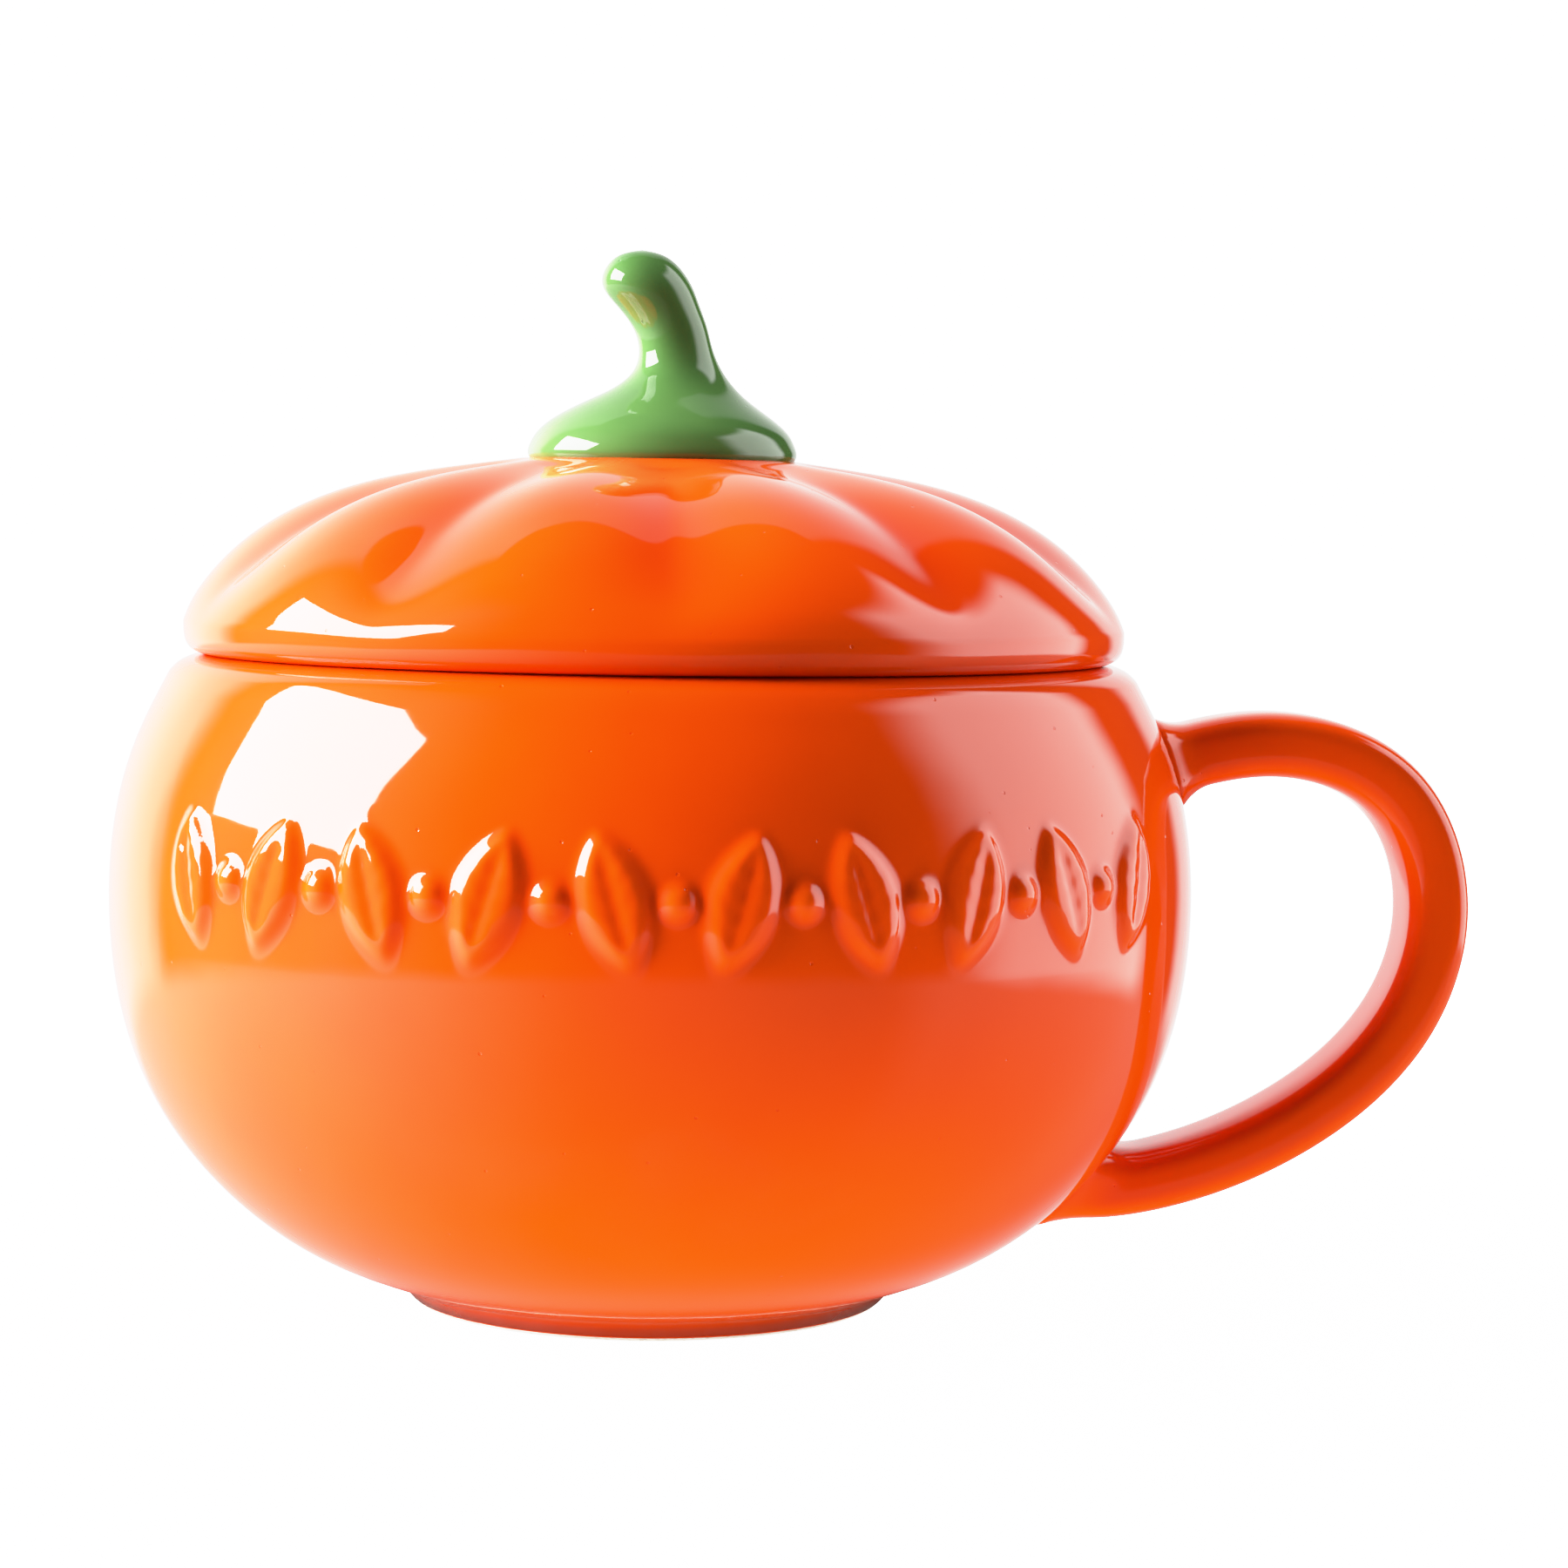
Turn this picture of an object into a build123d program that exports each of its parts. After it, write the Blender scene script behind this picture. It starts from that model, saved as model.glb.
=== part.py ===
from build123d import *
import os

# Lidded pumpkin mug in glazed ceramic: a round cup with a strap handle and a lobed lid with a stem knob.
# Millimetres. +Z is up and the origin is on the cup's axis, at the height that the foot rests on.
# The handle is on +X and the leaf band faces the front, -Y.

# ---- driving dimensions ----
body_radius = 62.0          # at the widest height of the cup
widest_z = 46.0
wall = 4.5
foot_radius = 27.5
foot_height = 1.8
foot_width = 5.0
lip_z = 74.2                # the lid rests here
lip_radius = 50.3           # outer edge of the flat that the lid rests on
shoulder_radius = 55.3
shoulder_z = 72.2
mouth_radius = 46.5
mouth_clearance = 1.2       # between the mouth and the lid's locating ring

strap_thickness = 7.6       # in the plane of the handle
strap_width = 13.0
slip_gap = 0.01             # joint between the cup and what is stuck on its side
strap_root = 1.3            # how much larger the strap's section is where it meets the cup

lid_radius = 53.8
lid_edge_z = 77.8           # height of the lid's widest line
lid_top_z = 96.5
pad_radius = 16.0           # flat on the lid that carries the stem
lobe_count = 10
groove_radius = 6.0         # section of the furrow between two lobes
ring_width = 3.5
ring_depth = 6.5            # how far the locating ring reaches into the mouth

leaf_count = 10
leaf_height = 14.5
leaf_width = 7.6
leaf_tilt = 16.0
berry_radius = 1.6
relief = 1.1                # how proud the leaves stand
band_z = 52.0
band_half_angle = 54.0      # the band reaches this far to each side of the front

# ---- outline of the cup's side, from foot to shoulder, as (radius, height) ----
wall_points = [
    (foot_radius, foot_height),
    (36.2, 5.0),
    (47.3, 12.0),
    (57.9, 26.0),
    (body_radius, widest_z),
    (59.2, 64.0),
    (shoulder_radius, shoulder_z),
]
floor_z = foot_height + wall
floor_radius = 24.0         # the flat of the floor inside
inner_radius = body_radius - wall
unit_speed = (1, 1)          # keeps a spline's end tangents in step with its length


def cup_outline(proud=0.0):
    """Half outline of the filled cup, its side moved out by `proud`."""
    with BuildSketch(Plane.XZ) as outline:
        with BuildLine():
            side = Spline(*[(radius + proud, height) for radius, height in wall_points])
            Polyline(side @ 1, (0, shoulder_z), (0, foot_height), side @ 0)
        make_face()
    return outline.sketch


# ---- cup: one thin casting, open at the mouth, its rim turned inwards ----
with BuildPart() as cup_body:
    with BuildSketch(Plane.XZ):
        with BuildLine():
            side = Spline(*wall_points)
            shoulder = TangentArc(side @ 1, (53.2, 73.75), tangent=side % 1)
            brim = Spline(
                shoulder @ 1,
                (lip_radius, lip_z),
                tangents=[shoulder % 1, (-1, 0)],
                tangent_scalars=unit_speed,
            )
            flat = Line(brim @ 1, (mouth_radius + 0.8, lip_z))
            ease = TangentArc(flat @ 1, (mouth_radius, lip_z - 0.8), tangent=(-1, 0))
            bore = Line(ease @ 1, (mouth_radius, lip_z - wall + 0.8))
            inside = Spline(
                bore @ 1,
                (51.1, 68.3),
                (54.9, 62.0),
                (inner_radius, widest_z),
                (53.6, 27.5),
                (42.5, 14.0),
                (floor_radius, floor_z),
                tangents=[(0.35, -1), (-1, 0)],
                tangent_scalars=unit_speed,
            )
            Polyline(inside @ 1, (0, floor_z), (0, foot_height), side @ 0)
        make_face()
    revolve(axis=Axis.Z)

# ---- foot ring: left bare of glaze, the only part that touches the table ----
with BuildPart() as foot_ring:
    with BuildSketch(Plane.XZ):
        with Locations((foot_radius - foot_width / 2, foot_height / 2)):
            blank = Rectangle(foot_width, foot_height)
        fillet(blank.vertices().group_by(Axis.Z)[0], 0.8)
    revolve(axis=Axis.Z)

# ---- handle: a strap bent to a D, cut to sit on the cup's side ----
strap_points = [
    (57.2, 62.0),
    (72.0, 64.9),
    (85.7, 59.9),
    (91.3, 46.0),
    (87.8, 33.1),
    (73.6, 20.0),
    (59.0, 14.3),
    (47.0, 13.6),
    (39.0, 17.0),
]
section_places = [0, 0.12, 0.5, 0.88, 1]
with BuildPart() as handle:
    with BuildLine(Plane.XZ) as strap:
        Spline(*strap_points)
    for place in section_places:
        swell = strap_root if place in (0, 1) else 1.0
        across = Plane(strap.line @ place, x_dir=(0, 1, 0), z_dir=strap.line % place)
        with BuildSketch(across):
            RectangleRounded(strap_width * swell, strap_thickness * swell, 3.2)
    sweep(path=strap.line, multisection=True)
    revolve(cup_outline(slip_gap), axis=Axis.Z, mode=Mode.SUBTRACT)

# ---- leaf band: raised leaves with a berry between each two ----
band_step = 2 * band_half_angle / (leaf_count - 1)
with BuildPart() as leaf_band:
    for number in range(2 * leaf_count - 1):
        angle = -90 - band_half_angle + number * band_step / 2
        outwards = Vector(1, 0, 0).rotate(Axis.Z, angle)
        sideways = Vector(0, 1, 0).rotate(Axis.Z, angle)
        is_leaf = number % 2 == 0
        tilt = leaf_tilt if number % 4 == 0 else -leaf_tilt
        tilted = sideways.rotate(Axis((0, 0, 0), outwards), tilt)
        middle = outwards * inner_radius + Vector(0, 0, band_z)
        with BuildSketch(Plane(middle, x_dir=tilted, z_dir=outwards)):
            if is_leaf:
                with BuildLine():
                    tip, base = (0, leaf_height / 2), (0, -leaf_height / 2)
                    ThreePointArc(base, (leaf_width / 2, 0), tip)
                    ThreePointArc(tip, (-leaf_width / 2, 0), base)
                make_face()
            else:
                Circle(berry_radius)
        extrude(amount=2 * wall)
    revolve(cup_outline(relief), axis=Axis.Z, mode=Mode.INTERSECT)
    revolve(cup_outline(slip_gap), axis=Axis.Z, mode=Mode.SUBTRACT)

# ---- lid: a hollow dome with ten lobes, its furrows fading out above the edge ----
ring_outer = mouth_radius - mouth_clearance
ring_inner = ring_outer - ring_width
with BuildPart() as lid_shell:
    with BuildSketch(Plane.XZ):
        with BuildLine():
            dome = Spline(
                (lid_radius, lid_edge_z),
                (51.6, 82.2),
                (45.8, 88.0),
                (33.3, 93.8),
                (pad_radius, lid_top_z),
                tangents=[(0, 1), (-1, 0)],
                tangent_scalars=unit_speed,
            )
            hollow = Spline(
                (0, 92.0),
                (30.0, 89.0),
                (39.4, 83.0),
                (ring_inner, lip_z),
                tangents=[(1, 0), (0, -1)],
                tangent_scalars=unit_speed,
            )
            Polyline(dome @ 1, (0, lid_top_z), hollow @ 0)
            seat = Line(hollow @ 1, (lip_radius + 0.4, lip_z))
            Spline(
                seat @ 1,
                dome @ 0,
                tangents=[(1, 0), (0, 1)],
                tangent_scalars=unit_speed,
            )
        make_face()
    revolve(axis=Axis.Z)
    with BuildLine(Plane.XZ) as furrow:
        ThreePointArc((15.0, 102.0), (38.0, 96.0), (57.0, 85.8))
    across = Plane(furrow.line @ 0, x_dir=(0, 1, 0), z_dir=furrow.line % 0)
    with BuildSketch(across, mode=Mode.PRIVATE) as furrow_section:
        Circle(groove_radius)
    cutter = sweep(furrow_section.sketch, path=furrow.line, mode=Mode.PRIVATE)
    with PolarLocations(0, lobe_count, start_angle=-90):
        add(cutter, mode=Mode.SUBTRACT)

# ---- locating ring: drops inside the mouth and keeps the lid central ----
with BuildPart() as lid_ring:
    with BuildSketch(Plane.XZ):
        with Locations((ring_outer - ring_width / 2, lip_z - ring_depth / 2)):
            blank = Rectangle(ring_width, ring_depth)
        fillet(blank.vertices().group_by(Axis.Z)[0], 1.2)
    revolve(axis=Axis.Z)

# ---- stem knob: a bent stem on a flared base, each section as (height, offset in X, radius) ----
stem_sections = [
    (lid_top_z, 0.4, 15.0),
    (98.4, 0.4, 15.2),
    (100.6, 0.5, 13.6),
    (103.0, 0.9, 10.1),
    (106.0, 2.0, 5.8),
    (110.0, 1.8, 4.3),
    (113.5, 0.2, 4.7),
    (115.7, -1.4, 5.0),
]
with BuildPart() as stem_knob:
    for height, offset, radius in stem_sections:
        with BuildSketch(Plane.XY.offset(height)):
            with Locations((offset, 0)):
                Circle(radius)
    loft()
    height, offset, radius = stem_sections[-1]
    with Locations((offset, 0, height)):
        Sphere(radius)

# ---- write each piece ----
pieces = {
    "cup_body": cup_body,
    "foot_ring": foot_ring,
    "handle": handle,
    "leaf_band": leaf_band,
    "lid_shell": lid_shell,
    "lid_ring": lid_ring,
    "stem_knob": stem_knob,
}
os.makedirs("parts", exist_ok=True)
for name, piece in pieces.items():
    piece.part.label = name
    export_step(piece.part, f"parts/{name}.step")
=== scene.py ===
"""Looks for the lidded pumpkin mug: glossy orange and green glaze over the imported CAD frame.

The frame's own axes: +Z up, the handle on +X, the leaf band facing -Y. Shapes are worked out in millimetres
and become metres in skin(). Outlines are lists of (radius, height), turned about the cup's axis.
"""

import math

import bpy
import numpy as np
from mathutils import Matrix, Vector


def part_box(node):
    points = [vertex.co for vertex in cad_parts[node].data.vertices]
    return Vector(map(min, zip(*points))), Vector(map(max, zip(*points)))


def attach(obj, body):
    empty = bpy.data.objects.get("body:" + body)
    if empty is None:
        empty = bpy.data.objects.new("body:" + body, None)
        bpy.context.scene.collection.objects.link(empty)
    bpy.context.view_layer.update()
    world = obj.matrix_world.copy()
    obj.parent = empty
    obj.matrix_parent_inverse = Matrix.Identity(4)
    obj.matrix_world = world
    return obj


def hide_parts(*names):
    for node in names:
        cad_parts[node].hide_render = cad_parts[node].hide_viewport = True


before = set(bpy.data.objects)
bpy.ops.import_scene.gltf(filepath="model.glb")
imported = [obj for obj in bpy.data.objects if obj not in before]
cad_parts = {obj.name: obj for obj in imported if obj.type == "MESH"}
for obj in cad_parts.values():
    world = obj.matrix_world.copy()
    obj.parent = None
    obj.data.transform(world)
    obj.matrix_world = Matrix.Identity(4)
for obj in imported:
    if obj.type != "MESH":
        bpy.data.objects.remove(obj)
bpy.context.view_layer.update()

MM = 0.001

# ---- heights and radii in millimetres, most read from the frame; the wall, mouth and ring width given ----


def frame_box(node):
    """Lowest and highest corner of a CAD node, in millimetres."""
    low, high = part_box(node)
    return np.array(low) / MM, np.array(high) / MM


cup_low, cup_high = frame_box("cup_body")
BODY_RADIUS = (cup_high[1] - cup_low[1]) / 2
LIP_Z = cup_high[2]
FOOT_RADIUS, _, FOOT_Z = frame_box("foot_ring")[1]
LID_RADIUS, _, LID_TOP_Z = frame_box("lid_shell")[1]
ring_low, ring_high = frame_box("lid_ring")
RING_RADIUS = ring_high[0]
RING_LOW_Z = ring_low[2]
WALL = 4.5
MOUTH_RADIUS = 46.5
RING_WIDTH = 3.5

# ---- curves and meshes ----


def smooth_curve(points, count):
    """A natural cubic spline through the points, as `count` points evenly spaced by chord length."""
    points = np.array(points, float)
    chord = np.concatenate([[0], np.cumsum(np.linalg.norm(np.diff(points, axis=0), axis=1))])
    step = np.diff(chord)
    size = len(points)
    system = np.eye(size)
    bend = np.zeros_like(points)
    for i in range(1, size - 1):
        system[i, i - 1 : i + 2] = step[i - 1], 2 * (step[i - 1] + step[i]), step[i]
        slopes = (points[i + 1] - points[i]) / step[i], (points[i] - points[i - 1]) / step[i - 1]
        bend[i] = 6 * (slopes[0] - slopes[1])
    second = np.linalg.solve(system, bend)
    at = np.linspace(0, chord[-1], count)
    k = np.clip(np.searchsorted(chord, at, side="right") - 1, 0, size - 2)
    h = step[k][:, None]
    left, right = (chord[k + 1] - at)[:, None], (at - chord[k])[:, None]
    return (
        second[k] * left**3 / (6 * h)
        + second[k + 1] * right**3 / (6 * h)
        + (points[k] / h - second[k] * h / 6) * left
        + (points[k + 1] / h - second[k + 1] * h / 6) * right
    )


def arc(centre, radius, start, end, count=8):
    """Points on an arc in the outline's plane, angles in degrees."""
    turn = np.radians(np.linspace(start, end, count))
    return np.stack([centre[0] + radius * np.cos(turn), centre[1] + radius * np.sin(turn)], axis=1)


def join(*stretches):
    """One outline from several, each point that repeats the last one left out."""
    rows = [np.array(stretches[0][0], float)]
    for stretch in stretches:
        for point in np.array(stretch, float):
            if np.linalg.norm(point - rows[-1]) > 1e-3:
                rows.append(point)
    return np.array(rows)


def outward(outline):
    """The unit normals of an outline, on its right-hand side as it is walked."""
    along = np.gradient(outline, axis=0)
    normal = np.stack([along[:, 1], -along[:, 0]], axis=1)
    return normal / np.linalg.norm(normal, axis=1, keepdims=True)


def smooth_step(value, low, high):
    """0 up to `low`, 1 from `high`, with a soft start and end between them."""
    share = np.clip((value - low) / (high - low), 0, 1)
    return share * share * (3 - 2 * share)


def skin(name, rows, body, stands_for, closed_ends=False, glaze_pool_and_shade=None):
    """A mesh from rings of points (rows, columns, xyz) in millimetres, riding on a CAD body.

    The per-point values for the glaze say where it pools or is darkened by painted shade (towards 1) and
    where it runs thin (towards -1).
    """
    row_count, column_count = rows.shape[:2]
    points = rows.reshape(-1, 3)
    here = np.arange(row_count * column_count).reshape(row_count, column_count)
    beside = np.roll(here, -1, axis=1)
    quads = np.stack([here[:-1], beside[:-1], beside[1:], here[1:]], axis=-1).reshape(-1, 4)
    faces = [tuple(quad) for quad in quads.tolist()]
    if closed_ends:
        points = np.vstack([points, rows[0].mean(0), rows[-1].mean(0)])
        first, last = len(points) - 2, len(points) - 1
        faces += [(first, b, a) for a, b in zip(here[0].tolist(), beside[0].tolist())]
        faces += [(last, a, b) for a, b in zip(here[-1].tolist(), beside[-1].tolist())]
    mesh = bpy.data.meshes.new(name)
    mesh.from_pydata((points * MM).tolist(), [], faces)
    if glaze_pool_and_shade is not None:
        layer = mesh.attributes.new("glaze_pool_and_shade", "FLOAT", "POINT")
        layer.data.foreach_set("value", glaze_pool_and_shade.reshape(-1).astype(np.float32))
    mesh.polygons.foreach_set("use_smooth", [True] * len(mesh.polygons))
    mesh.update()
    piece = bpy.data.objects.new(name, mesh)
    bpy.context.scene.collection.objects.link(piece)
    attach(piece, body)
    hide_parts(*stands_for)
    return piece


def turned(outline, azimuths):
    """Rings of points from an outline turned about the axis, as (rows, columns, xyz)."""
    radius, height = outline[:, 0][:, None], outline[:, 1][:, None]
    x = radius * np.cos(azimuths)[None, :]
    y = radius * np.sin(azimuths)[None, :]
    return np.stack([x, y, height + np.zeros_like(x)], axis=-1)


def lift(rows, outline, azimuths, height):
    """Moves the rings of a turned outline out along its normals, by a height for each point."""
    normals = outward(outline)
    rows[..., 0] += height * normals[:, 0][:, None] * np.cos(azimuths)[None, :]
    rows[..., 1] += height * normals[:, 0][:, None] * np.sin(azimuths)[None, :]
    rows[..., 2] += height * normals[:, 1][:, None]


def nearest_row(outline, point):
    """The number of the outline's point that lies nearest to `point`."""
    return int(np.argmin(np.linalg.norm(outline - np.array(point), axis=1)))


def full_turn(count):
    """`count` azimuths, evenly spaced round the axis."""
    return np.linspace(0, 2 * math.pi, count, endpoint=False)


# ---- procedural materials ----


class Shader:
    """A short way to write node trees."""

    def __init__(self, name):
        self.material = bpy.data.materials.new(name)
        self.material.use_nodes = True
        self.tree = self.material.node_tree
        self.principled = self.tree.nodes["Principled BSDF"]

    def node(self, kind, inputs=None, **settings):
        made = self.tree.nodes.new(kind)
        for key, value in settings.items():
            setattr(made, key, value)
        for key, value in (inputs or {}).items():
            self.feed(made.inputs[key], value)
        return made

    def feed(self, socket, value):
        if isinstance(value, bpy.types.NodeSocket):
            self.tree.links.new(value, socket)
        else:
            socket.default_value = value

    def noise(self, scale, detail=3.0, roughness=0.5):
        place = self.node("ShaderNodeTexCoord").outputs["Object"]
        inputs = {"Vector": place, "Scale": scale, "Detail": detail, "Roughness": roughness}
        return self.node("ShaderNodeTexNoise", inputs).outputs["Fac"]

    def remap(self, value, low, high, to_low=0.0, to_high=1.0):
        inputs = {"Value": value, "From Min": low, "From Max": high, "To Min": to_low, "To Max": to_high}
        return self.node("ShaderNodeMapRange", inputs, interpolation_type="SMOOTHSTEP").outputs[0]

    def blend(self, share, colour_a, colour_b):
        mix = self.node("ShaderNodeMix", data_type="RGBA")
        self.feed(mix.inputs["Factor"], share)
        self.feed(mix.inputs["A"], colour_a)
        self.feed(mix.inputs["B"], colour_b)
        return mix.outputs["Result"]

    def bump(self, height, depth, below=None):
        inputs = {"Height": height, "Distance": depth, "Strength": 1.0}
        if below is not None:
            inputs["Normal"] = below
        return self.node("ShaderNodeBump", inputs).outputs["Normal"]

    def pinholes(self, scale, size):
        """Sparse round specks: 1 inside a speck, 0 elsewhere."""
        place = self.node("ShaderNodeTexCoord").outputs["Object"]
        cells = self.node("ShaderNodeTexVoronoi", {"Vector": place, "Scale": scale, "Randomness": 1.0})
        return self.remap(cells.outputs["Distance"], size, size * 0.5)


def glaze(name, colour, deep, thin, pooled_and_shaded, roughness=0.035, waviness=0.00006):
    """Glossy glaze over clay: colour drifts, pools in hollows, thins on ridges and has faint pinholes. Its
    pooled colour also stands in for painted shade at the cup's foot and in the lid's furrows.
    """
    shader = Shader(name)
    drift = shader.remap(shader.noise(28, 4), 0.35, 0.7)
    base = shader.blend(drift, colour, deep)
    cloud = shader.remap(shader.noise(9, 3), 0.48, 0.8, 0.0, 0.6)
    base = shader.blend(cloud, base, thin)
    glaze_pool_and_shade = shader.node("ShaderNodeAttribute", attribute_name="glaze_pool_and_shade").outputs["Fac"]
    # darker where the glaze pools, and painted shade at the cup's foot and in the lid's furrows
    base = shader.blend(shader.remap(glaze_pool_and_shade, 0.0, 1.0), base, pooled_and_shaded)
    base = shader.blend(shader.remap(glaze_pool_and_shade, 0.0, -1.0), base, thin)
    specks = shader.pinholes(260, 0.055)
    base = shader.blend(specks, base, deep)
    shader.feed(shader.principled.inputs["Base Color"], base)
    gloss = shader.remap(shader.noise(140, 2), 0.3, 0.7, roughness * 0.75, roughness * 1.3)
    shader.feed(shader.principled.inputs["Roughness"], gloss)
    ripple = shader.bump(shader.noise(75, 2), waviness)
    pitted = shader.bump(shader.pinholes(260, 0.055), -0.00004, ripple)
    shader.feed(shader.principled.inputs["Normal"], pitted)
    shader.principled.inputs["IOR"].default_value = 1.5
    return shader.material


def bare_clay(name):
    """Fired clay without glaze: matt, fine-grained and slightly stained."""
    shader = Shader(name)
    stain = shader.remap(shader.noise(40, 5), 0.35, 0.7)
    base = shader.blend(stain, (0.72, 0.62, 0.50, 1), (0.82, 0.75, 0.65, 1))
    grit = shader.remap(shader.noise(1500, 2), 0.55, 0.7)
    base = shader.blend(grit, base, (0.60, 0.50, 0.40, 1))
    shader.feed(shader.principled.inputs["Base Color"], base)
    matt = shader.remap(shader.noise(900, 2), 0.3, 0.7, 0.7, 0.95)
    shader.feed(shader.principled.inputs["Roughness"], matt)
    shader.feed(shader.principled.inputs["Normal"], shader.bump(shader.noise(2200, 3), 0.00008))
    return shader.material


orange_glaze = glaze(
    "orange_glaze",
    colour=(0.78, 0.056, 0.0006, 1),
    deep=(0.73, 0.048, 0.0004, 1),
    thin=(0.84, 0.072, 0.0012, 1),
    pooled_and_shaded=(0.62, 0.034, 0.0003, 1),
)
green_glaze = glaze(
    "green_glaze",
    colour=(0.080, 0.175, 0.045, 1),
    deep=(0.048, 0.120, 0.030, 1),
    thin=(0.130, 0.230, 0.080, 1),
    pooled_and_shaded=(0.026, 0.070, 0.014, 1),
)
liner_glaze = glaze(
    "liner_glaze",
    colour=(0.86, 0.82, 0.74, 1),
    deep=(0.80, 0.75, 0.66, 1),
    thin=(0.90, 0.87, 0.80, 1),
    pooled_and_shaded=(0.74, 0.68, 0.58, 1),
)
clay = bare_clay("bare_clay")

# ---- cup ----
# the first points round the foot's outside into the cup's side
side_points = [
    (FOOT_RADIUS, 0.6),
    (28.4, 1.75),
    (30.3, 2.75),
    (32.9, 3.75),
    (36.2, 5.0),
    (47.3, 12.0),
    (57.9, 26.0),
    (BODY_RADIUS, 46.0),
    (59.2, 64.0),
    (55.3, 72.2),
]
BAND_Z = 52.0
BAND_HALF_HEIGHT = 9.0
BAND_HALF_ANGLE = math.radians(54.0)
LEAF_COUNT = 10
LEAF_HEIGHT = 14.9
LEAF_WIDTH = 8.2
LEAF_TILT = math.radians(16.0)
BERRY_RADIUS = 1.9
RELIEF = 1.1                # how proud the leaves stand
FINE = 0.35                 # spacing of the mesh's points where the leaves are
COARSE = 2.0                # and elsewhere


def uneven(unit, fine_low, fine_high, low, high):
    """Steps from low up to high: FINE units between fine_low and fine_high, COARSE units elsewhere."""
    stretches = [(low, fine_low, COARSE), (fine_low, fine_high, FINE), (fine_high, high, COARSE)]
    steps = []
    for start, end, spacing in stretches:
        count = max(2, int((end - start) / (spacing * unit)))
        steps.append(np.linspace(start, end, count, endpoint=False))
    return np.concatenate(steps)


def leaf_height_at(across, up):
    """Height of one leaf at a point across and up from its middle: domed, with a midrib and side veins."""
    share = np.clip(1 - (2 * up / LEAF_HEIGHT) ** 2, 0, 1)
    half_width = LEAF_WIDTH / 2 * share**0.85
    inside = np.clip((half_width - np.abs(across)) / 1.7, 0, 1)
    edge = inside * inside * (3 - 2 * inside)
    midrib = np.exp(-((across / 0.42) ** 2)) * np.clip(share * 1.4, 0, 1)
    slant = np.sin((up - np.abs(across) * 0.8) * 2 * math.pi / 2.3)
    veins = np.clip(slant - 0.55, 0, 1) * np.clip((half_width - np.abs(across)) / 1.6, 0, 1)
    return edge * (RELIEF - 0.5 * midrib - 0.45 * veins)


def relief_at(azimuths, heights):
    """Height of the leaf band over the cup's side, for each azimuth (columns) and height (rows)."""
    total = np.zeros((len(heights), len(azimuths)))
    step = 2 * BAND_HALF_ANGLE / (LEAF_COUNT - 1) / 2
    front = -math.pi / 2
    for number in range(2 * LEAF_COUNT - 1):
        middle = front - BAND_HALF_ANGLE + number * step
        sideways = (azimuths - middle)[None, :] * BODY_RADIUS
        up = (heights - BAND_Z)[:, None] + np.zeros_like(sideways)
        sideways = sideways + np.zeros_like(up)
        if number % 2:
            reach = np.clip(1 - (sideways**2 + up**2) / BERRY_RADIUS**2, 0, 1)
            total = np.maximum(total, RELIEF * np.sqrt(reach))
            continue
        tilt = LEAF_TILT if number % 4 == 0 else -LEAF_TILT
        across = sideways * math.cos(tilt) + up * math.sin(tilt)
        along = up * math.cos(tilt) - sideways * math.sin(tilt)
        total = np.maximum(total, leaf_height_at(across, along))
    return total


def soften(field, passes=4):
    """Rounds a height field off, as glaze does, by averaging each point with its neighbours."""
    for _ in range(passes):
        field = field.copy()
        field[1:-1] = (field[:-2] + 2 * field[1:-1] + field[2:]) / 4
        field[:, 1:-1] = (field[:, :-2] + 2 * field[:, 1:-1] + field[:, 2:]) / 4
    return field


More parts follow.
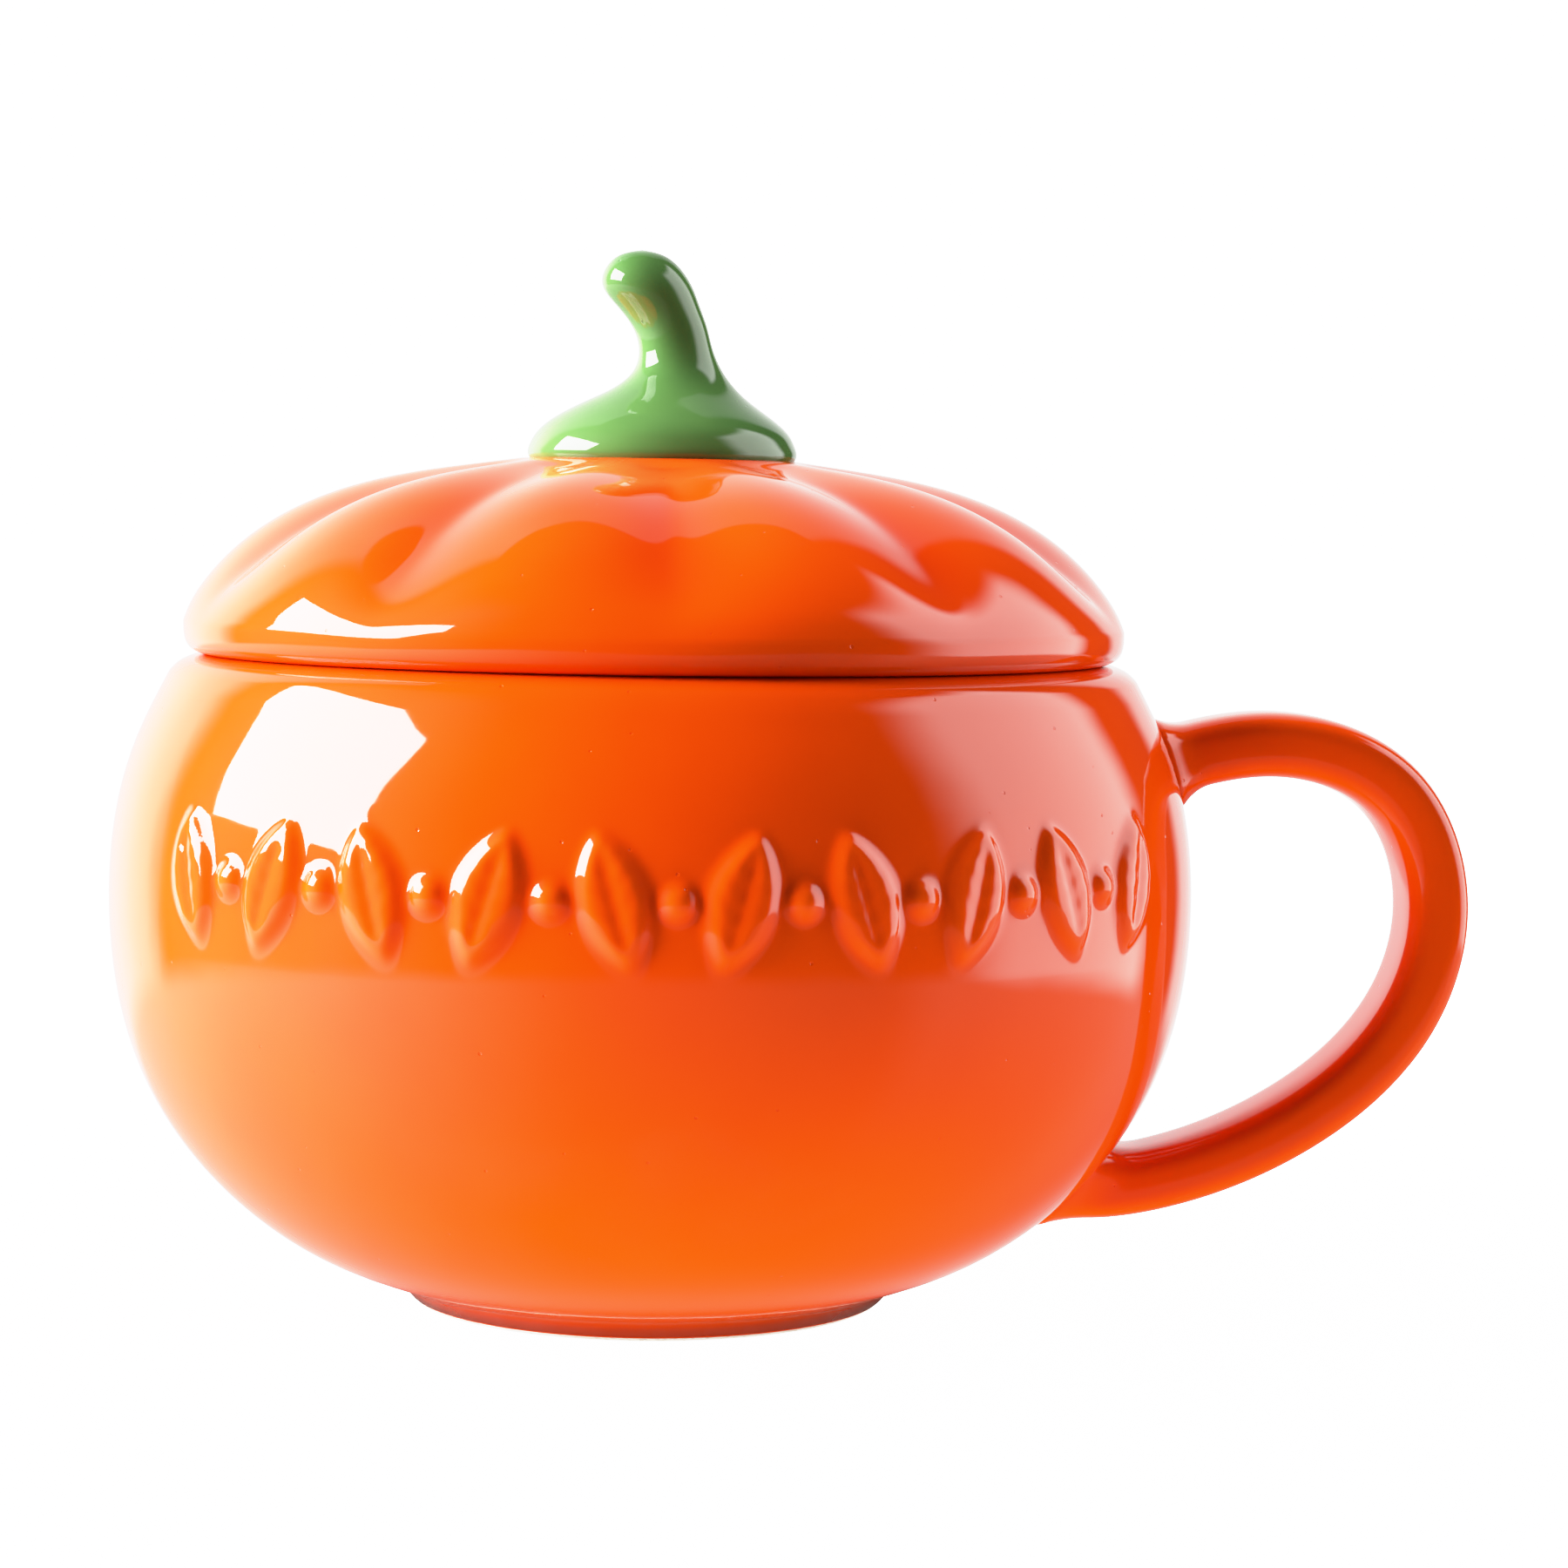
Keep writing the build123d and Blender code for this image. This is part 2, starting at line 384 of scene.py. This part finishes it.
def make_cup():
    """The glazed cup: its side with the leaf band, the in-turned rim and the lined inside."""
    side = smooth_curve(side_points, 2000)
    length = np.concatenate([[0], np.cumsum(np.linalg.norm(np.diff(side, axis=0), axis=1))])
    band = [np.interp(BAND_Z + sign * BAND_HALF_HEIGHT, side[:, 1], length) for sign in (-1, 1)]
    at = np.append(uneven(1.0, band[0], band[1], 0, length[-1]), length[-1])
    side = np.stack([np.interp(at, length, side[:, k]) for k in (0, 1)], axis=1)
    reach = BAND_HALF_ANGLE + math.radians(7)
    front = -math.pi / 2
    azimuths = uneven(1 / BODY_RADIUS, front - reach, front + reach, -math.pi * 1.5 + 1e-9, math.pi / 2)
    outline = join(
        [(0, FOOT_Z), (FOOT_RADIUS - 2, FOOT_Z), (FOOT_RADIUS - 1, 0.7)],
        side,
        smooth_curve([side[-1], (54.4, 73.1), (53.2, 73.72), (51.8, 74.1), (50.3, LIP_Z)], 10),
        [(48.6, LIP_Z)],
        arc((MOUTH_RADIUS + 1.2, LIP_Z - 1.2), 1.2, 90, 180),
        [(MOUTH_RADIUS, LIP_Z - WALL + 1.2)],
        smooth_curve(
            [
                (MOUTH_RADIUS + 0.3, LIP_Z - WALL + 0.3),
                (51.1, 68.3),
                (54.9, 62.0),
                (BODY_RADIUS - WALL, 46.0),
                (53.6, 27.5),
                (42.5, 14.0),
                (24.0, FOOT_Z + WALL),
            ],
            30,
        ),
        [(12.0, FOOT_Z + WALL), (0.01, FOOT_Z + WALL)],
    )
    rows = turned(outline, azimuths)
    start = nearest_row(outline, side[0])
    span = slice(start, start + len(side))
    height = np.zeros(rows.shape[:2])
    height[span] = soften(relief_at(azimuths, outline[span, 1]))
    lift(rows, outline, azimuths, height)
    hollow = soften(height, 12) - height
    # painted shade: the glaze is darkened towards the foot, where the mug meets the table
    painted_foot_shade = 1 - smooth_step(outline[:, 1], 0.6, 3.8)
    glaze_pool_and_shade = np.clip(hollow / (0.35 * RELIEF) + painted_foot_shade[:, None], -1, 1)
    cup = skin("glazed_cup", rows, "cup", ["cup_body", "leaf_band"], glaze_pool_and_shade=glaze_pool_and_shade)
    cup.data.materials.append(orange_glaze)
    cup.data.materials.append(liner_glaze)
    lip_row = nearest_row(outline, (MOUTH_RADIUS, LIP_Z - 1.2))
    for polygon in cup.data.polygons:
        if min(polygon.vertices) // len(azimuths) >= lip_row:
            polygon.material_index = 1


# ---- foot ring ----


def make_foot():
    """The foot: glazed outside, its standing edge and inside left bare."""
    outline = join(
        [(FOOT_RADIUS - 5.0, FOOT_Z), (FOOT_RADIUS - 4.9, 1.0)],
        arc((FOOT_RADIUS - 4.0, 0.9), 0.9, 180, 270),
        arc((FOOT_RADIUS - 1.1, 1.1), 1.1, 270, 345),
        [(FOOT_RADIUS - 0.2, FOOT_Z)],
    )
    foot = skin("foot", turned(outline, full_turn(256)), "cup", ["foot_ring"])
    foot.data.materials.append(clay)
    foot.data.materials.append(orange_glaze)
    for polygon in foot.data.polygons:
        if polygon.center.z > 0.4 * MM and Vector(polygon.center[:2]).length > (FOOT_RADIUS - 2) * MM:
            polygon.material_index = 1


# ---- handle ----
strap_points = [
    (57.2, 62.0),
    (72.0, 64.9),
    (85.7, 59.9),
    (91.3, 46.0),
    (87.8, 33.1),
    (73.6, 20.0),
    (59.0, 14.3),
    (47.0, 13.6),
    (41.0, 15.5),
]
STRAP_HALF_THICKNESS = 3.8
STRAP_HALF_WIDTH = 6.5
STRAP_SQUARENESS = 3.4      # 2 is an ellipse, more is squarer
ROOT_FLARE = 1.6            # how much thicker the strap is where it meets the cup
ROOT_LENGTH = 4.0           # over which it thins to its usual section
ROOT_SUNK = 1.5             # how far the ends of the strap reach into the cup's wall


def cup_side_at(points):
    """For points (x, y, z): how far outside the cup's side each one is, and the side's normal there."""
    side = smooth_curve(side_points, 400)
    slope = np.gradient(side[:, 0], side[:, 1])
    reach = np.hypot(points[..., 0], points[..., 1])
    lean = np.interp(points[..., 2], side[:, 1], slope)
    stretch = np.sqrt(1 + lean**2)
    distance = (reach - np.interp(points[..., 2], side[:, 1], side[:, 0])) / stretch
    across = points[..., :2] / (reach * stretch)[..., None]
    return distance, np.concatenate([across, (-lean / stretch)[..., None]], axis=-1)


def make_handle():
    """The strap handle, swept along its line and flared where it is stuck on the cup."""
    line = smooth_curve(strap_points, 220)
    normals = outward(line)
    turn = full_turn(64)
    power = 2 / STRAP_SQUARENESS
    thick = (np.sign(np.cos(turn)) * np.abs(np.cos(turn)) ** power)[None, :]
    wide = (np.sign(np.sin(turn)) * np.abs(np.sin(turn)) ** power)[None, :]

    def rings(grow):
        out = (STRAP_HALF_THICKNESS + grow) * thick
        aside = (STRAP_HALF_WIDTH + grow) * wide
        x = line[:, 0][:, None] + normals[:, 0][:, None] * out
        z = line[:, 1][:, None] + normals[:, 1][:, None] * out
        return np.stack([x, aside + np.zeros_like(x), z], axis=-1)

    near = np.clip(cup_side_at(rings(0.0))[0] / ROOT_LENGTH, 0, 1)
    rows = rings(ROOT_FLARE * (1 - near) ** 2)
    for _ in range(4):
        distance, normal = cup_side_at(rows)
        rows += np.clip(-ROOT_SUNK - distance, 0, None)[..., None] * normal
    handle = skin("strap_handle", rows, "cup", ["handle"], closed_ends=True)
    handle.data.materials.append(orange_glaze)


# ---- lid ----
LOBES = 10
FURROW_DEPTH = 2.0
FURROW_ROUNDING = 0.16      # the share of half a lobe over which the bottom of a furrow is rounded
dome_points = [
    (LID_RADIUS, 77.9),
    (53.2, 79.5),
    (51.6, 82.2),
    (45.8, 88.0),
    (33.3, 93.8),
    (20.0, 96.2),
    (15.6, LID_TOP_Z + 0.3),
]


def make_lid():
    """The lobed lid: furrows run from the stem and fade out above the edge; the underside is hollow."""
    edge = smooth_curve([(51.2, LIP_Z), (52.6, 74.5), (53.35, 75.2), (53.7, 76.2), (LID_RADIUS, 77.9)], 12)
    dome = smooth_curve(dome_points, 84)
    under = join(
        [(51.2, LIP_Z), (46.0, LIP_Z), (RING_RADIUS - RING_WIDTH, LIP_Z)],
        smooth_curve([(41.75, LIP_Z + 1.0), (39.4, 83.0), (30.0, 89.0), (15.0, 91.6), (0.01, 92.0)], 22),
    )
    outline = join(under[::-1], edge, dome, [(13.5, LID_TOP_Z + 0.35), (0.01, LID_TOP_Z + 0.35)])
    azimuths = full_turn(720)
    rows = turned(outline, azimuths)
    radius, level = outline[:, 0], outline[:, 1]
    outside = np.arange(len(radius)) >= nearest_row(outline, edge[0])
    from_stem = 0.3 * smooth_step(radius, 15.0, 20.0) + 0.7 * smooth_step(radius, 18.0, 44.0)
    depth = FURROW_DEPTH * outside * smooth_step(level, 75.8, 88.0) * from_stem
    pitch = 2 * math.pi / LOBES
    off = ((azimuths + math.pi / 2 + pitch / 2) % pitch / (pitch / 2) - 1)[None, :]
    sharp = np.clip(1 - np.sqrt(off**2 + FURROW_ROUNDING**2), 0, 1) / (1 - FURROW_ROUNDING)
    gentle = (1 + np.cos(math.pi * off)) / 2
    near_stem = 1 - smooth_step(radius, 19.0, 38.0)[:, None]
    height = -depth[:, None] * (sharp**1.9 * (1 - near_stem) + gentle * near_stem)
    lift(rows, outline, azimuths, height)
    # darker down the furrows: partly glaze pooling, partly painted shade in the furrows
    glaze_pool_and_shade = -0.9 * height / FURROW_DEPTH
    lid = skin("lobed_lid", rows, "lid", ["lid_shell"], glaze_pool_and_shade=glaze_pool_and_shade)
    lid.data.materials.append(orange_glaze)
    lid.data.materials.append(liner_glaze)
    seat_row = nearest_row(outline, (46.0, LIP_Z))
    for polygon in lid.data.polygons:
        if max(polygon.vertices) // len(azimuths) <= seat_row:
            polygon.material_index = 1


def make_lid_ring():
    """The ring under the lid that drops inside the mouth."""
    outline = join(
        [(RING_RADIUS - RING_WIDTH, LIP_Z)],
        arc((RING_RADIUS - RING_WIDTH + 1.2, RING_LOW_Z + 1.2), 1.2, 180, 270),
        arc((RING_RADIUS - 1.2, RING_LOW_Z + 1.2), 1.2, 270, 360),
        [(RING_RADIUS, LIP_Z)],
    )
    ring = skin("locating_ring", turned(outline, full_turn(256)), "lid", ["lid_ring"])
    ring.data.materials.append(liner_glaze)


# ---- stem ----
# each slice is (offset towards the handle, height, radius)
stem_slices = [
    (0.4, 96.5, 14.9),
    (0.4, 97.2, 15.3),
    (0.4, 98.4, 15.1),
    (0.45, 99.7, 14.4),
    (0.5, 101.0, 13.1),
    (0.7, 102.3, 11.2),
    (1.1, 103.5, 9.2),
    (1.8, 105.0, 6.9),
    (2.15, 107.0, 5.05),
    (1.9, 109.3, 4.25),
    (1.1, 112.0, 4.3),
    (-0.3, 114.4, 4.8),
    (-1.5, 116.6, 5.1),
    (-1.95, 118.5, 4.3),
    (-2.1, 119.9, 2.8),
    (-2.1, 120.65, 0.05),
]


def make_stem():
    """The bent stem on its flared base, slightly uneven as if shaped by hand."""
    slices = smooth_curve(stem_slices, 150)
    turn = full_turn(96)
    wobble = 1 + 0.012 * np.sin(2 * turn + 0.7)[None, :] + 0.008 * np.sin(3 * turn + 2.0)[None, :]
    radius = slices[:, 2][:, None] * wobble
    x = slices[:, 0][:, None] + radius * np.cos(turn)[None, :]
    y = radius * np.sin(turn)[None, :]
    rows = np.stack([x, y, slices[:, 1][:, None] + np.zeros_like(x)], axis=-1)
    stem = skin("stem", rows, "lid", ["stem_knob"], closed_ends=True)
    stem.data.materials.append(green_glaze)


make_cup()
make_foot()
make_handle()
make_lid()
make_lid_ring()
make_stem()

# ---- stage: pale floor, soft studio light ----
BACKDROP = 4.2              # brightness of the floor and the background as the camera sees them


def matt_table(name, dark, pale):
    """A matt, faintly grained table top, and the distance from its middle as a socket."""
    shader = Shader(name)
    grain = shader.remap(shader.noise(60, 3), 0.3, 0.7)
    shader.feed(shader.principled.inputs["Base Color"], shader.blend(grain, dark, pale))
    shader.principled.inputs["Roughness"].default_value = 0.9
    shader.principled.inputs["Specular IOR Level"].default_value = 0.0
    place = shader.node("ShaderNodeTexCoord").outputs["Object"]
    away = shader.node("ShaderNodeVectorMath", {0: place}, operation="LENGTH").outputs["Value"]
    return shader, away


def make_floor():
    """A large pale floor that only the camera sees, and only from above."""
    bpy.ops.mesh.primitive_plane_add(size=12)
    floor = bpy.context.object
    floor.name = "floor"
    shader, away = matt_table("pale_floor", (0.080, 0.080, 0.078, 1), (0.090, 0.090, 0.090, 1))
    shader.principled.inputs["Emission Color"].default_value = (1, 1, 1, 1)
    # the floor glows a little less near the mug: a faint painted shadow
    glow = shader.remap(away, 0.05, 0.35, 0.88 * BACKDROP, BACKDROP)
    shader.feed(shader.principled.inputs["Emission Strength"], glow)
    behind = shader.node("ShaderNodeNewGeometry").outputs["Backfacing"]
    shader.feed(shader.principled.inputs["Alpha"], shader.remap(behind, 1.0, 0.0))
    floor.data.materials.append(shader.material)
    floor.visible_glossy = False
    floor.visible_diffuse = False
    floor.visible_shadow = False


def make_contact_shade():
    """The dark patch of table under the mug, painted shade standing for the mug's shadow: the glaze mirrors
    it and it keeps light off the foot.
    """
    under = (0, 0, -0.0002)
    bpy.ops.mesh.primitive_circle_add(vertices=96, radius=0.05, fill_type="NGON", location=under)
    patch = bpy.context.object
    patch.name = "contact_shade"
    shader, away = matt_table("shaded_table", (0.10, 0.10, 0.10, 1), (0.14, 0.14, 0.14, 1))
    shader.feed(shader.principled.inputs["Alpha"], shader.remap(away, 0.038, 0.027))
    patch.data.materials.append(shader.material)
    patch.visible_camera = False
    patch.visible_diffuse = False


def direction(azimuth, elevation):
    """A unit vector: azimuth in degrees from the front round to the left, elevation above the horizon."""
    a, e = math.radians(azimuth), math.radians(elevation)
    return Vector((-math.sin(a) * math.cos(e), -math.cos(a) * math.cos(e), math.sin(e)))


def panel(name, azimuth, elevation, span, radiance, distance=1.2, mirrored=True):
    """A soft light panel that spans (across, up) degrees as seen from the mug."""
    light = bpy.data.lights.new(name, "AREA")
    light.shape = "RECTANGLE"
    light.size = 2 * distance * math.tan(math.radians(span[0] / 2))
    light.size_y = 2 * distance * math.tan(math.radians(span[1] / 2))
    light.energy = radiance * math.pi * light.size * light.size_y
    lamp = bpy.data.objects.new(name, light)
    bpy.context.scene.collection.objects.link(lamp)
    towards = direction(azimuth, elevation)
    lamp.location = Vector((0, 0, 0.06)) + towards * distance
    lamp.rotation_mode = "QUATERNION"
    lamp.rotation_quaternion = towards.to_track_quat("Z", "Y")
    lamp.visible_camera = False
    lamp.visible_glossy = mirrored


def make_studio():
    """The surroundings that the glaze mirrors: a pale wall behind, a screen on the right, a table below.

    Azimuths are in degrees from the front round to the left, elevations above the horizon.
    """
    world = bpy.data.worlds.new("studio")
    bpy.context.scene.world = world
    world.use_nodes = True
    tree = world.node_tree
    background = tree.nodes["Background"]
    background.inputs["Color"].default_value = (1, 1, 1, 1)

    def node(kind, inputs=None, **settings):
        made = tree.nodes.new(kind)
        for key, value in settings.items():
            setattr(made, key, value)
        for key, value in (inputs or {}).items():
            if isinstance(value, bpy.types.NodeSocket):
                tree.links.new(value, made.inputs[key])
            else:
                made.inputs[key].default_value = value
        return made.outputs[0]

    def calculate(operation, a, b=0.0):
        return node("ShaderNodeMath", {0: a, 1: b}, operation=operation)

    def product(*factors):
        total = factors[0]
        for factor in factors[1:]:
            total = calculate("MULTIPLY", total, factor)
        return total

    def total(*terms):
        result = terms[0]
        for term in terms[1:]:
            result = calculate("ADD", result, term)
        return result

    def fade(value, low, high, to_low=0.0, to_high=1.0):
        inputs = {"Value": value, "From Min": low, "From Max": high, "To Min": to_low, "To Max": to_high}
        return node("ShaderNodeMapRange", inputs, interpolation_type="SMOOTHSTEP")

    split = tree.nodes.new("ShaderNodeSeparateXYZ")
    tree.links.new(tree.nodes.new("ShaderNodeTexCoord").outputs["Generated"], split.inputs[0])
    left = calculate("MULTIPLY", split.outputs["X"], -1.0)
    nearer = calculate("MULTIPLY", split.outputs["Y"], -1.0)
    azimuth = calculate("DEGREES", calculate("ARCTAN2", left, nearer))
    elevation = calculate("DEGREES", calculate("ARCSINE", split.outputs["Z"]))

    above_table = fade(elevation, -14, -10)
    behind = calculate("MAXIMUM", fade(azimuth, 122, 134), fade(azimuth, -141, -149))
    wall_level = total(1.0, product(1.1, fade(azimuth, 60, 120), fade(azimuth, 178, 140)))
    wall_shade = fade(elevation, 12, 56, 1.3, 0.5)
    wall = product(behind, wall_level, wall_shade, fade(elevation, 61.5, 60))
    screen = product(4.0, fade(azimuth, -58, -80), fade(azimuth, -128, -118), fade(elevation, 55, 46))
    halo = product(0.5, fade(azimuth, 40, 75), fade(azimuth, 134, 100), fade(elevation, 62, 45))
    outward_share = node("ShaderNodeMapRange", {"Value": elevation, "From Min": -78, "From Max": -12})
    distance = calculate("POWER", outward_share, 1.5)
    near_lamp = product(2.3, fade(azimuth, 15, 85), fade(azimuth, 100, 180, 1.0, 0.35))
    near_wall = product(0.8, fade(azimuth, -140, -180))
    near_screen = product(0.4, fade(azimuth, -48, -62), fade(azimuth, -150, -120), distance)
    table = product(total(near_lamp, near_wall, near_screen, 0.22), distance, fade(elevation, -10, -14))
    light = total(product(total(wall, screen, halo), above_table), table, 0.03)
    seen = tree.nodes.new("ShaderNodeLightPath").outputs["Is Camera Ray"]
    tree.links.new(calculate("MAXIMUM", light, product(seen, BACKDROP)), background.inputs["Strength"])


make_floor()
make_contact_shade()
make_studio()
# the glaze mirrors only the softbox: the other panels light the clay's own colour
panel("left_softbox", 86.5, 26, (41, 32), 27)
panel("left_fill", 95, 10, (60, 60), 11.7, mirrored=False)
panel("table_glow", 30, -80, (60, 50), 10.0, mirrored=False)
panel("right_fill", -95, 15, (60, 60), 0.8, mirrored=False)
panel("top_fill", 150, 60, (50, 50), 4.0, mirrored=False)

# ---- camera ----
CAMERA_DISTANCE = 0.4605
CAMERA_HEIGHT = 0.0926
CAMERA_SIDE = 2.4           # degrees towards the left of the front
AIM_RIGHT = 1.87            # degrees that the view turns away from the cup's axis
AIM_DOWN = 4.09
ROLL = 0.86
LENS = 91.8                 # millimetres, on a 36 mm sensor

camera = bpy.data.objects.new("camera", bpy.data.cameras.new("camera"))
bpy.context.scene.collection.objects.link(camera)
camera.data.lens = LENS
camera.data.sensor_width = 36.0
camera.location = direction(CAMERA_SIDE, 0) * CAMERA_DISTANCE + Vector((0, 0, CAMERA_HEIGHT))
camera.rotation_mode = "QUATERNION"
heading = Matrix.Rotation(-math.radians(CAMERA_SIDE + AIM_RIGHT), 3, "Z")
pitch = Matrix.Rotation(math.radians(90 - AIM_DOWN), 3, "X")
roll = Matrix.Rotation(math.radians(ROLL), 3, "Z")
camera.rotation_quaternion = (heading @ pitch @ roll).to_quaternion()
bpy.context.scene.camera = camera

# ---- tone: straight for the darker half, then a soft shoulder that keeps bright orange from clipping ----
WHITE = 4.0                 # the brightness that is shown as white
view = bpy.context.scene.view_settings
view.view_transform = "Standard"
view.look = "None"
view.use_curve_mapping = True
view.curve_mapping.clip_max_x = WHITE
shoulder = view.curve_mapping.curves[3]
shoulder.points[0].location = (0.0, 0.0)
shoulder.points[1].location = (WHITE, 1.0)
for brightness, shown in [(0.3, 0.3), (0.6, 0.6), (0.8, 0.775), (1.0, 0.87), (1.4, 0.93), (2.2, 0.965)]:
    shoulder.points.new(brightness, shown)
view.curve_mapping.update()
